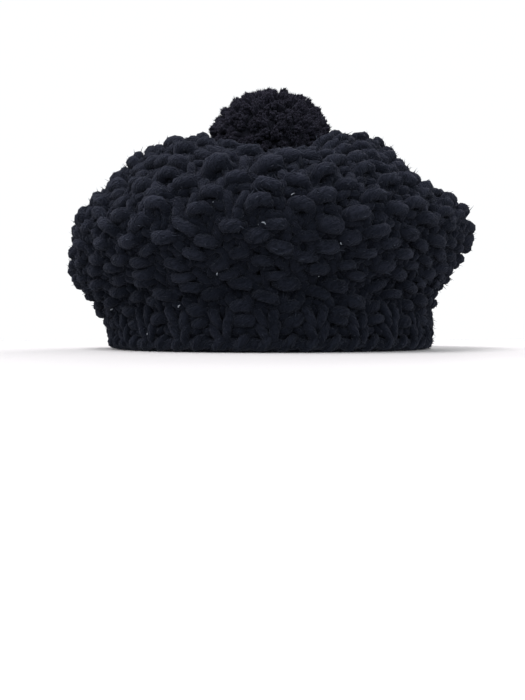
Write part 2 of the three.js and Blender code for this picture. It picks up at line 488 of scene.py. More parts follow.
def open_tubes(paths: Array, radius: Array, spin: Spin) -> MeshArrays:
    """Carry round sections along many open paths, each closed by a point a little past both ends.

    Circles are counted from a slanting direction across each path. Each tube has a far-off stretch of yarn.

    Args:
        paths: Points, shaped (tubes, rings, 3).
        radius: The radius at each point, shaped (tubes, rings).
        spin: How the yarn is spun.

    Returns:
        All the tubes as one mesh, with full shade crests, so no painted shade.
    """
    tubes, rings, _ = paths.shape
    tangent = unit(np.gradient(paths, axis=1))
    aside = np.cross(tangent.mean(axis=1, keepdims=True), ASLANT)
    sideways = unit(aside - tangent * (aside * tangent).sum(axis=-1, keepdims=True))
    spokes, turned, along = spin.rings(paths, tangent, sideways)
    points = paths[:, :, None] + radius[:, :, None, None] * spokes
    start = TUBE_APART * np.arange(tubes)[:, None, None]
    place = on_yarn(radius[:, :, None], turned, start + along)
    way_out = np.stack([-tangent[:, 0], tangent[:, -1]], axis=1)
    ends = paths[:, [0, -1]] + END_BULGE * radius[:, [0, -1], None] * way_out
    end_place = place[:, [0, -1]].mean(axis=2)
    body = tubes * rings * spin.sides
    side = np.arange(spin.sides)
    beside = (side + 1) % spin.sides
    first = (np.arange(tubes) * rings * spin.sides)[:, None]
    last = first + (rings - 1) * spin.sides
    root = (body + 2 * np.arange(tubes))[:, None] + 0 * side
    root_fan = np.stack([root, first + beside, first + side], axis=-1)
    tip_fan = np.stack([root + 1, last + side, last + beside], axis=-1)

    def both(one: Array, other: Array) -> Array:
        """Put one list of threes after another."""
        return np.concatenate([one.reshape(-1, 3), other.reshape(-1, 3)])

    return MeshArrays(
        both(points, ends),
        spin.quads(tubes, rings, False),
        both(root_fan, tip_fan),
        both(place, end_place),
        both(spokes, way_out),
        both(np.repeat(tangent, spin.sides, axis=1), way_out),
        np.ones(body + 2 * tubes),
    )


class Value:
    """A shader socket that takes part in arithmetic: each operation adds one Math node."""

    def __init__(self, shader: "Shader", socket: bpy.types.NodeSocket) -> None:
        """Keep the socket and the shader that it belongs to."""
        self.shader = shader
        self.socket = socket

    def __add__(self, other: "Value | float") -> "Value":
        """Add."""
        return self.shader.math("ADD", self, other)

    def __sub__(self, other: "Value | float") -> "Value":
        """Subtract."""
        return self.shader.math("SUBTRACT", self, other)

    def __rsub__(self, other: float) -> "Value":
        """Subtract from a number."""
        return self.shader.math("SUBTRACT", other, self)

    def __mul__(self, other: "Value | float") -> "Value":
        """Multiply."""
        return self.shader.math("MULTIPLY", self, other)

    __radd__ = __add__
    __rmul__ = __mul__

    def clamped(self) -> "Value":
        """Keep between 0 and 1."""
        return self.shader.math("MINIMUM", self.shader.math("MAXIMUM", self, 0.0), 1.0)


class Shader:
    """Adds the nodes of one material, or of the world."""

    def __init__(self, owner: bpy.types.Material | bpy.types.World) -> None:
        """Start with no nodes.

        Args:
            owner: The material or the world.
        """
        self.owner = owner
        owner.use_nodes = True
        self.tree = owner.node_tree
        self.tree.nodes.clear()

    def node(self, kind: str, settings: dict | None = None, inputs: dict | None = None) -> bpy.types.Node:
        """Add a node, set it up and fill its sockets.

        Args:
            kind: The node's type.
            settings: Its own properties.
            inputs: Values or links by socket name or number.

        Returns:
            The node.
        """
        node = self.tree.nodes.new(kind)
        for name, setting in (settings or {}).items():
            setattr(node, name, setting)
        for name, given in (inputs or {}).items():
            socket = node.inputs[name]
            if isinstance(given, Value):
                self.tree.links.new(given.socket, socket)
            else:
                socket.default_value = given
        return node

    def value(self, *setup: str | dict | None, output: int | str = 0) -> Value:
        """Add a node as the node method does, and take one of its outputs by name or number."""
        return Value(self, self.node(*setup).outputs[output])

    def math(self, operation: str, first: Value | float, second: Value | float) -> Value:
        """Add a Math node on two operands."""
        return self.value("ShaderNodeMath", {"operation": operation}, {0: first, 1: second})

    def attribute(self, name: str, output: str) -> Value:
        """Read one of the mesh's attributes."""
        return self.value("ShaderNodeAttribute", {"attribute_name": name}, output=output)

    def noise(self, place: Value, scale: float, detail: float) -> Value:
        """Add noise on a place."""
        return self.value("ShaderNodeTexNoise", None, {"Vector": place, "Scale": scale, "Detail": detail})

    def mix_colour(self, share: Value, low: Triple, high: Triple) -> Value:
        """Mix two colours by a share."""
        inputs = {"Factor": share, 6: (*low, 1), 7: (*high, 1)}
        return self.value("ShaderNodeMix", {"data_type": "RGBA"}, inputs, output=2)

    def finish(self, surface: dict) -> bpy.types.Material:
        """Close the material with a Principled surface.

        Args:
            surface: Values or links of its sockets.

        Returns:
            The material.
        """
        bsdf = self.value("ShaderNodeBsdfPrincipled", None, surface)
        self.node("ShaderNodeOutputMaterial", None, {"Surface": bsdf})
        return self.owner


@dataclass(frozen=True)
class Grain:
    """One size of grain in the wool: how fine it is across and along the yarn, in 1 / mm, and its share."""

    across: float
    along: float
    share: float
    detail: float = 2.0

    def noise(self, shader: Shader, place: Value) -> Value:
        """Add the grain's share of noise on the place, stretched along the yarn."""
        stretch = {"Vector": place, "Scale": (self.across, self.across, self.along)}
        return self.share * shader.noise(shader.value("ShaderNodeMapping", None, stretch), 1.0, self.detail)


@dataclass(frozen=True)
class YarnFinish:
    """Spun wool: fibres that run along the yarn with its twist, soft plies and a dull velvet sheen."""

    name: str
    shade: Triple = (0.0120, 0.0137, 0.0207)
    tip: Triple = (0.0256, 0.0283, 0.0418)
    # The share of the yarn's tone left where the painted shade is darkest, in the gaps
    painted_gap_shade: float = 0.15
    hairs: Grain = Grain(1.7, 0.3, 0.3)
    strands: Grain = Grain(0.75, 0.14, 0.45)
    fluff: Grain = Grain(1.0, 0.8, 0.35)
    patches: Grain = Grain(0.12, 0.07, 1.4, 1.0)
    contrast: float = 5.5
    darkness: float = 3.225
    mean_fibre: float = 0.55
    roughness: float = 0.85
    rough_swing: float = 0.2
    bump: float = 0.9
    fibre_depth: float = 3.2
    specular: float = 0.03
    specular_tint: Triple = (0.7, 0.82, 1.0)
    sheen: float = 0.07
    sheen_roughness: float = 0.4
    sheen_tint: Triple = (0.75, 0.8, 1.0)

    @cached_property
    def material(self) -> bpy.types.Material:
        """Add up hairs, strands and fluff on the place on the yarn, with wide patches, and paint shade over
        them by
        the shade crest: palest on the loops' tops, darkest in the gaps.

        Returns:
            The material.
        """
        shader = Shader(bpy.data.materials.new(self.name))
        place = shader.attribute(YARN_PLACE, "Vector")
        hairs, strands, fluff, patches = (
            grain.noise(shader, place) for grain in (self.hairs, self.strands, self.fluff, self.patches)
        )
        fibre = hairs + strands + fluff
        tone = (self.contrast * fibre + patches - self.darkness).clamped()
        crest = shader.attribute(SHADE_CREST, "Fac")
        # Painted shade: the tone fades to the dark shade colour the less the yarn stands out of the cloth
        tone_and_painted_shade = (self.painted_gap_shade + (1 - self.painted_gap_shade) * crest * crest) * tone
        depth = {"Height": fibre, "Strength": self.bump, "Distance": self.fibre_depth * MM}
        return shader.finish(
            {
                "Base Color": shader.mix_colour(tone_and_painted_shade, self.shade, self.tip),
                "Roughness": self.roughness + self.rough_swing * (fibre - self.mean_fibre),
                "Normal": shader.value("ShaderNodeBump", None, depth),
                "Specular IOR Level": self.specular,
                "Specular Tint": (*self.specular_tint, 1),
                "Sheen Weight": self.sheen,
                "Sheen Roughness": self.sheen_roughness,
                "Sheen Tint": (*self.sheen_tint, 1),
            }
        )


# The band's yarn is a darker copy of the crown's: painted shade on the lower band, which gets less light
SHADED_BAND_YARN = YarnFinish("band_yarn", (0.0089, 0.0103, 0.0157), (0.0177, 0.0202, 0.0305))
CROWN_YARN = YarnFinish("crown_yarn")
POMPOM_YARN = YarnFinish("pompom_yarn", (0.0205, 0.0196, 0.0292), (0.0246, 0.0236, 0.0342), fibre_depth=2.4)
TIE_YARN = YarnFinish("tie_yarn")
# The band's fibres are darker copies of the crown's too: painted shade on the lower band
SHADED_BAND_FIBRES = YarnFinish("shaded_band_fibres", (0.0049, 0.0058, 0.0086), (0.0328, 0.0381, 0.0533))
CROWN_FIBRES = YarnFinish("crown_fibres", (0.0070, 0.0083, 0.0121), (0.0492, 0.0570, 0.0779))
POMPOM_FIBRES = YarnFinish("pompom_fibres", (0.0110, 0.0103, 0.0152), (0.0394, 0.0368, 0.0525))
LINT = YarnFinish("pale_lint", (0.24, 0.26, 0.30), (0.54, 0.57, 0.64))


def attach(piece: bpy.types.Object, slot: str, *nodes: str) -> None:
    """Let a piece ride with the hat and say which nodes it stands for.

    Args:
        piece: The piece.
        slot: Not used.
        nodes: The nodes that it replaces.
    """
    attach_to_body(piece, BODY)
    if nodes:
        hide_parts(*nodes)
    faces = len(piece.data.loops) - 2 * len(piece.data.polygons)
    LOG.info("%s: %d triangles, rides on %s, for %s", piece.name, faces, BODY, ", ".join(nodes) or "no node")


@dataclass
class Drift:
    """A slow random wave over the cloth: cosines of azimuth and course with seeded turns and phases."""

    random: np.random.Generator
    waves: int = 16
    turns: tuple[int, int] = (2, 17)
    slope: float = 1.0
    calm: Pair = (1.0, 4.0)

    def __post_init__(self) -> None:
        """Draw the waves."""
        self.around = self.random.integers(*self.turns, self.waves)
        self.along = self.random.uniform(-self.slope, self.slope, self.waves)
        self.phase = self.random.uniform(0, TURN, self.waves)

    def at(self, azimuth: Array, course: Array) -> Array:
        """Add up the waves, from none at the rim to values that mostly lie between -1 and 1."""
        angle = self.around * azimuth[..., None] + self.along * course[..., None] + self.phase
        return smoothstep(course, *self.calm) * np.cos(angle).sum(axis=-1) / math.sqrt(self.waves)


@dataclass(frozen=True)
class LoopShape:
    """A knitted loop: half its height in courses, its legs' sway in stitches, its waves out in millimetres.

    The shade crest is the span of heights out of the cloth, in millimetres, over which the painted shade
    goes from a gap's darkest to a loop top's palest.
    """

    pattern: Pattern
    reach: float
    sway: float
    waves: tuple[float, ...]
    crest: Pair
    flatness: float = 0.1

    def rise(self, t: Array) -> Array:
        """Go from minus the reach at the foot to the reach at a flattened head: cos t less some cos 3t."""
        return -self.reach * (np.cos(t) - self.flatness * np.cos(3 * t)) / (1 - self.flatness)

    def out(self, t: Array) -> Array:
        """Add up cosines of t, 2t, 3t and so on, each with its own depth."""
        return sum(depth * np.cos((number + 1) * t) for number, depth in enumerate(self.waves))


@dataclass(frozen=True)
class CastOn:
    """The edge's coil, the core in it and the thread behind them, in courses and millimetres."""

    points: int = 240
    coil_course: float = 0.72
    coil_swing: float = 0.32
    coil_depth: float = 2.9
    coil_share: float = 0.9
    core_course: float = 0.62
    core_swing: float = 0.06
    thread_course: float = 1.3
    thread_depth: float = 2.2
    thread_radius: float = 2.4
    # The span of heights out of the cloth, in millimetres, over which the edge's painted shade goes from
    # darkest to palest
    crest: Pair = (-0.5, 2.5)


@dataclass
class Knit:
    """The band and the crown, knitted in the round from the rim to the eye."""

    form: HatForm
    wedges: int = 8
    wedge_start: float = TURN / 16
    band_wedge: int = 7
    full_wedge: int = 9
    growing_courses: int = 6
    stitch_width: float = 10.6
    band_courses: int = 5
    crown_courses: int = 28
    first_course: float = 1.45
    last_gap: float = 0.9
    rib_rows: int = 2
    rib: LoopShape = LoopShape(Pattern.RIB, 0.92, 0.25, (0.0, -3.2), (1.5, 5.8))
    moss: LoopShape = LoopShape(Pattern.MOSS, 0.9, 0.26, (-2.5, 1.2, -1.4, 0.0, 0.75), (2.6, 7.2))
    edge: CastOn = CastOn()
    samples: int = 16
    spin: Spin = Spin(8, 19.0)
    yarn_radius: float = 2.7
    foot_gauge: float = 0.82
    head_gauge: float = 0.3
    foot_fade: float = 0.35
    uneven: float = 0.13
    uneven_tilt: float = 1.5
    uneven_out: float = 5.0
    loose_width: float = 0.05
    loose_yarn: float = 0.14
    lean: float = 0.02
    lean_courses: float = 9.0
    dip_courses: float = 1.0
    dip_azimuth: float = 335.0
    dip_half_width: float = 55.0
    dip_start: Pair = (3, 14)
    dip_end: Pair = (15, 27)
    climb_courses: float = 0.25
    swell_depth: float = 1.1
    floor_gap: float = 0.1
    random: np.random.Generator = seeded(7)

    def __post_init__(self) -> None:
        """Lay out the cloth and count the stitches of each course."""
        self.cloth = Cloth(self.form, self.band_courses, self.crown_courses)
        self.swell, self.climb = Drift(self.random), Drift(self.random)
        self.centres = np.arange(self.first_course, self.cloth.courses - self.last_gap, 1.0)
        self.in_band = int((self.centres < self.band_courses).sum())
        self.counts = [self.wedge_count(row) for row in range(len(self.centres))]

    def wedge_count(self, row: int) -> int:
        """Count the stitches of a wedge: one more a course above the band, then as many as keep their width.

        Args:
            row: The course's number.

        Returns:
            Stitches in each of the wedges.
        """
        if row < self.in_band:
            return self.band_wedge
        centre = self.centres[row]
        if centre < self.band_courses + self.growing_courses:
            return min(self.full_wedge, self.band_wedge + 1 + row - self.in_band)
        width = self.stitch_width * (1 + self.loose_width * float(self.cloth.looseness(centre)))
        fitting = TURN * self.cloth.radius(centre) / width / self.wedges
        return int(np.clip(round(fitting), 1, self.full_wedge))

    def skewed(self, azimuth: Array, course: Array) -> tuple[Array, Array]:
        """Lay the stitches as the pulled cloth lies.

        Columns lean back against the azimuth, most at the left side and not at the right, and ever less
        higher up. Courses dip at the front right as a bell of the azimuth, and level out at rim and eye.

        Args:
            azimuth: Radians round the hat.
            course: Heights above the rim in courses.

        Returns:
            The new azimuths and course heights.
        """
        rise = self.lean_courses * (1 - np.exp(-np.maximum(course - 1, 0) / self.lean_courses))
        leaning = azimuth - self.lean * rise * (1 - np.cos(azimuth)) / 2
        across = bell(degrees_off(azimuth, self.dip_azimuth) / self.dip_half_width)
        along = smoothstep(course, *self.dip_start) * (1 - smoothstep(course, *self.dip_end))
        return leaning, course - self.dip_courses * across * along

    def footed(self, row: int, forward: Array, head: Array) -> Array:
        """Turn stitches into azimuths: a head over its own place, a foot over the loops of the course below.

        Args:
            row: The course's number.
            forward: Stitches passed, from the first wedge on.
            head: How near each point is to a head, from 0 to 1.

        Returns:
            Radians round the hat, so that loops lean where stitches are lost.
        """
        per_wedge, below = self.counts[row], self.counts[max(row - 1, 0)]
        wedge = np.floor(forward / per_wedge)
        local = forward - wedge * per_wedge
        kept = min(per_wedge, below) - 1
        over = np.interp(local, [0, kept, per_wedge], [0, kept, below]) / below
        own = local / per_wedge
        return self.wedge_start + (wedge + own + (1 - head) * (over - own)) * TURN / self.wedges

    def wound(self, azimuth: Array, course: Array, out: Array, radius: Array) -> MeshArrays:
        """Lay a closed yarn along the cloth.

        Args:
            azimuth: Radians round the hat.
            course: Heights above the rim in courses.
            out: Millimetres out of the cloth's middle face.
            radius: The yarn's radius.

        Returns:
            The yarn, whose crests are heights above its own path.
        """
        points, normals = self.cloth.at(azimuth, course)
        return closed_tube(points + out[:, None] * normals, normals, radius, self.spin)

    def loops(self, row: int) -> MeshArrays:
        """Knit one course.

        Along each stitch t runs from 0 at the foot to half a turn at the head and on to the next foot. The
        yarn goes forward by t plus a sway of sin 2t, up by the loop's rise, and out by the loop's cosines,
        which turn over from knit to purl and fade at the feet. Chance moves, tilts, lifts and thickens each
        head, looser cloth has deeper loops of thicker yarn, and slow drifts swell the cloth and move its
        courses.

        Args:
            row: The course's number.

        Returns:
            The course's yarn.
        """
        count = self.counts[row] * self.wedges
        shape = self.rib if row < self.rib_rows else self.moss
        t = circle(self.samples)
        head = (1 - np.cos(t)) / 2
        stitch = np.arange(count)[:, None]
        chance = self.uneven * deviations(self.random, 6, count, 1)
        shift, lift, bulge, gauge, tilt, _ = chance
        forward = stitch + t / TURN + shape.sway * np.sin(2 * t) + shift * head
        azimuth = self.footed(row, forward, head)
        course = self.centres[row] + shape.rise(t) + head * (lift - self.uneven_tilt * tilt * np.sin(t))
        course = course + self.climb_courses * self.climb.at(azimuth, course)
        azimuth, course = self.skewed(azimuth, course)
        sign = 1 - 2 * ((stitch + row * shape.pattern.value) % 2)
        near_foot = np.minimum(t, TURN - t)
        fade = np.where(np.cos(t) > 0, 1 - np.exp(-((near_foot / self.foot_fade) ** 2)), 1)
        loose = 1 + self.loose_yarn * self.cloth.looseness(course)
        out = sign * shape.out(t) * fade * loose + self.uneven_out * bulge * head
        out = out + self.swell_depth * self.swell.at(azimuth, course)
        radius = self.yarn_radius * loose * (self.foot_gauge + head**2 * (self.head_gauge + gauge))
        yarn = self.wound(azimuth.ravel(), course.ravel(), out.ravel(), radius.ravel())
        # Painted shade: darker the less the yarn stands out of the cloth, darkest in the gaps between loops
        lifted = yarn.crest + np.repeat(out, self.spin.sides)
        return replace(yarn, crest=smoothstep(lifted, *shape.crest))

    def cast_on(self) -> MeshArrays:
        """Wind the cast-on edge: a coil round the rim with one turn for each stitch, a core and a thread.

        Returns:
            The edge's yarn.
        """
        edge = self.edge
        count = self.band_wedge * self.wedges
        t = circle(self.samples)
        turns = (np.arange(count)[:, None] + t / TURN).ravel()
        ring = circle(edge.points)
        level = np.ones(edge.points)
        coil = self.wound(
            self.wedge_start + turns / count * TURN,
            edge.coil_course - edge.coil_swing * np.cos(TURN * turns),
            edge.coil_depth * np.sin(TURN * turns),
            np.full(len(turns), edge.coil_share * self.yarn_radius),
        )
        wavy = edge.core_course + edge.core_swing * np.sin(count * ring)
        core = self.wound(ring, wavy, 0 * level, self.yarn_radius * level)
        behind = -edge.thread_depth * level
        thread = self.wound(ring, edge.thread_course * level, behind, edge.thread_radius * level)
        whole = MeshArrays.joined([coil, core, thread])
        # Painted shade by height out of the cloth, as on the courses
        return replace(whole, crest=smoothstep(whole.crest, *edge.crest))

    def build(self) -> list[MeshArrays]:
        """Make the band's piece and the crown's two pieces.

        Returns:
            The pieces' arrays, for the fuzz.
        """
        rows = [self.loops(row) for row in range(len(self.centres))]
        crown_counts = np.cumsum(self.counts[self.in_band:])
        middle = self.in_band + int(np.argmin(np.abs(crown_counts - crown_counts[-1] / 2))) + 1
        pieces = (
            ("band_knit", [self.cast_on(), *rows[:self.in_band]], SHADED_BAND_YARN, "band"),
            ("crown_knit_lower", rows[self.in_band:middle], CROWN_YARN, "crown"),
            ("crown_knit_upper", rows[middle:], CROWN_YARN, "crown"),
        )
        made = []
        for name, parts, finish, node in pieces:
            arrays = MeshArrays.joined(parts)
            keep_above(arrays.points, self.floor_gap)
            attach(arrays.to_object(name, finish.material), finish.name, node)
            made.append(arrays)
        return made


@dataclass
class Pompom:
    """A ball of cut yarn ends round a closed core, pressed into the dimple."""

    form: HatForm
    radius: float = 40.0
    half_height: float = 35.0
    height: float = 131.0
    press_from: float = 0.85
    press: float = 0.25
    ends: int = 600
    strands: int = 7
    strand_radius: float = 1.15
    thickness: Pair = (0.75, 1.2)
    cover: float = 1.88
    jitter: float = 0.035
    root: float = 0.76
    tip: float = 0.985
    tufts: float = 0.034
    tuft_waves: int = 20
    tuft_rate: float = 9.0
    uneven: float = 0.026
    strand_uneven: float = 0.01
    dome: float = 0.05
    fray: Pair = (1.2, 2.7)
    fray_growth: float = 1.5
    swing: float = 2.6
    swings: Pair = (0.2, 1.2)
    swing_growth: float = 1.8
    stations: tuple[float, ...] = (0.0, 0.5, 0.85, 1.0)
    swelling: tuple[float, ...] = (1.0, 1.0, 0.95, 0.7)
    # Painted shade along each strand at its stations: darker towards the root, deep in the ball
    shade_crests: tuple[float, ...] = (0.2, 0.4, 0.75, 1.0)
    spin: Spin = Spin(5, 14.0)
    core_share: float = 0.875
    core_span: Pair = (-0.95, 0.99)
    core_rings: int = 16
    core_spin: Spin = Spin(30, 14.0)
    core_gap: float = 0.4
    seat_sections: float = 3.0
    seat_points: int = 25
    seat_radii: Pair = (5.5, 65.0)
    apart: float = 200.0
    random: np.random.Generator = seeded(11)

    def seat(self, points: Array) -> Array:
        """Find the crown's height under points near its top.

        Args:
            points: Points, shaped (n, 3).

        Returns:
            The height of the crown's outer face at each point's radius and azimuth.
        """
        azimuth = np.arctan2(points[:, 1], points[:, 0])
        section = np.linspace(EYE, EYE - self.seat_sections, self.seat_points)
        grid_a, grid_s = np.meshgrid(azimuth, section, indexing="ij")
        face = self.form.outer(grid_a, grid_s)
        radius = np.hypot(face[..., 0], face[..., 1])
        wanted = np.clip(np.hypot(points[:, 0], points[:, 1]), *self.seat_radii)
        return interp_rows(wanted[:, None], radius, face[..., 2], self.apart)[:, 0]

    def reaches(self, direction: Array, spread: Array) -> Array:
        """Find how far strands reach, as shares of the ball's size.

        Waves over all directions make tufts, chance makes ends and strands uneven, and the outer strands of
        an end are shorter by the square of their spread, so that it is a soft dome.

        Args:
            direction: The ends' directions.
            spread: How far out each strand of an end stands, from 0 to 1.

        Returns:
            Shares, shaped (ends, strands).
        """
        waves = self.tuft_rate * self.random.normal(size=(3, self.tuft_waves))
        phases = self.random.uniform(0, TURN, self.tuft_waves)
        tuft = np.cos(direction @ waves + phases).sum(axis=1) / math.sqrt(self.tuft_waves)
        frayed = deviations(self.random, self.ends, self.strands)
        ragged = deviations(self.random, self.ends, 1)
        reach = 1.0 + self.tufts * tuft[:, None] + self.uneven * ragged + self.strand_uneven * frayed
        return reach - self.dome * (spread**2 - 0.5)

    def strand_paths(self) -> tuple[Array, Array]:
        """Spread yarn ends on a golden-angle spiral and fray each into a few strands.

        An end leaves the core along its own direction. Its strands stand on a small sunflower spiral that
        opens towards the cut, and it swings aside by a growing curve. The ball's top is pressed a little
        flat, and all of it is lifted onto the crown where it would sink in.

        Returns:
            The strands' paths and radii.
        """
        index = np.arange(self.ends)
        up = 1 - self.cover * (index + 0.5) / self.ends
        level = np.sqrt(1 - up**2)
        turn = GOLDEN_ANGLE * index
        direction = np.stack([level * np.cos(turn), level * np.sin(turn), up], axis=1)
        direction = unit(direction + self.jitter * self.random.normal(size=direction.shape))
        aside = unit(np.cross(direction, self.random.normal(size=direction.shape)))
        other = np.cross(direction, aside)
        t = np.array(self.stations)
        spread = np.sqrt((np.arange(self.strands) + 0.5) / self.strands)
        far = (self.root + (self.tip - self.root) * t) * self.reaches(direction, spread)[..., None]
        bend = self.swing * self.random.uniform(*self.swings, (self.ends, 1, 1)) * t**self.swing_growth
        turn = GOLDEN_ANGLE * np.arange(self.strands) + self.random.uniform(0, TURN, (self.ends, 1))
        inner, outer = self.fray
        opening = spread[:, None] * (inner + (outer - inner) * t**self.fray_growth)
        first = bend + opening * np.cos(turn)[..., None]
        second = opening * np.sin(turn)[..., None]
        size = np.array([self.radius, self.radius, self.half_height])
        paths = direction[:, None, None] * far[..., None] * size
        paths = paths + aside[:, None, None] * first[..., None] + other[:, None, None] * second[..., None]
        flat = paths.reshape(-1, 3)
        top = np.maximum(flat[:, 2] - self.press_from * self.half_height, 0)
        flat[:, 2] += self.height - self.press * top
        keep_above(flat, self.seat(flat) + self.strand_radius)
        count = self.ends * self.strands
        thick = self.strand_radius * self.random.uniform(*self.thickness, (count, 1))
        return flat.reshape(count, len(t), 3), thick * np.array(self.swelling)

    def core(self) -> MeshArrays:
        """Make the ball under the strands: level rings whose radius follows an ellipse, off the crown.

        Returns:
            The closed ball, all of it painted with the gaps' darkest shade.
        """
        lift = np.linspace(*self.core_span, self.core_rings)
        axis = np.zeros((1, len(lift), 3))
        axis[..., 2] = self.height + self.core_share * self.half_height * lift
        ball = open_tubes(axis, self.core_share * self.radius * np.sqrt(1 - lift**2)[None], self.core_spin)
        keep_above(ball.points, self.seat(ball.points) + self.core_gap)
        # Painted shade: the whole core takes the darkest colour of the gaps
        return replace(ball, crest=0 * ball.crest)

    def build(self) -> MeshArrays:
        """Make the pompom's piece.

        Returns:
            The strands' arrays with only the faces next to the cut ends, for the fibres.
        """
        paths, radius = self.strand_paths()
        strands = open_tubes(paths, radius, self.spin)
        # Painted shade: strands darker towards their roots, palest at the cut ends
        on_rings = np.tile(np.repeat(self.shade_crests, self.spin.sides), len(paths))
        on_ends = np.tile([self.shade_crests[0], self.shade_crests[-1]], len(paths))
        strands = replace(strands, crest=np.concatenate([on_rings, on_ends]))
        piece = MeshArrays.joined([strands, self.core()])
        attach(piece.to_object("pompom_strands", POMPOM_YARN.material), POMPOM_YARN.name, "pompom")
        cut_faces = strands.quads.reshape(len(paths), -1, self.spin.sides, 4)[:, -1]
        return replace(strands, quads=cut_faces.reshape(-1, 4))


@dataclass
class Tie:
    """The doubled yarn that holds the pompom, with its knot under the crown."""

    radius: float = 2.25
    spin: Spin = Spin(8, 14.0)
    stem_points: int = 40
    stem_turns: float = 2.5
    stem_offset: float = 2.2
    stem_foot: float = 7.0
    knot_points: int = 90
    knot_size: Triple = (2.1, 2.1, 2.0)
    knot_height: float = 4.5

    def build(self) -> None:
        """Make the tie: two yarns wound round each other as helices, and a trefoil knot."""
        low, high = (np.array(corner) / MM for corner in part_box("pompom_tie"))
        t = np.linspace(0, 1, self.stem_points)
        angle = TURN * self.stem_turns * t
        foot = low[2] + self.stem_foot
        lift = foot + (high[2] - foot - self.radius) * t
        one = np.stack([self.stem_offset * np.cos(angle), self.stem_offset * np.sin(angle), lift], axis=1)
        two = one * np.array([-1, -1, 1])
        stems = open_tubes(np.stack([one, two]), np.full((2, self.stem_points), self.radius), self.spin)
        t = circle(self.knot_points)
        x, y = np.sin(t) + 2 * np.sin(2 * t), np.cos(t) - 2 * np.cos(2 * t)
        knot = np.stack([x, y, -np.sin(3 * t)], axis=1) * np.array(self.knot_size)
        knot[:, 2] += low[2] + self.knot_height
        upward = np.broadcast_to(np.array([0.0, 0.0, 1.0]), knot.shape)
        ball = closed_tube(knot, upward, np.full(self.knot_points, self.radius), self.spin)
        arrays = MeshArrays.joined([stems, replace(ball, crest=np.ones(len(ball.points)))])
        attach(arrays.to_object("tie_yarns", TIE_YARN.material), TIE_YARN.name, "pompom_tie")


@dataclass(frozen=True)
class Cover:
    """The fibres on one yarn: how many short ends and long hairs, the ends' lengths, finish and slot."""

    name: str
    ends: int
    hairs: int
    length: Pair
    finish: YarnFinish
    slot: YarnFinish
    cut: bool = False


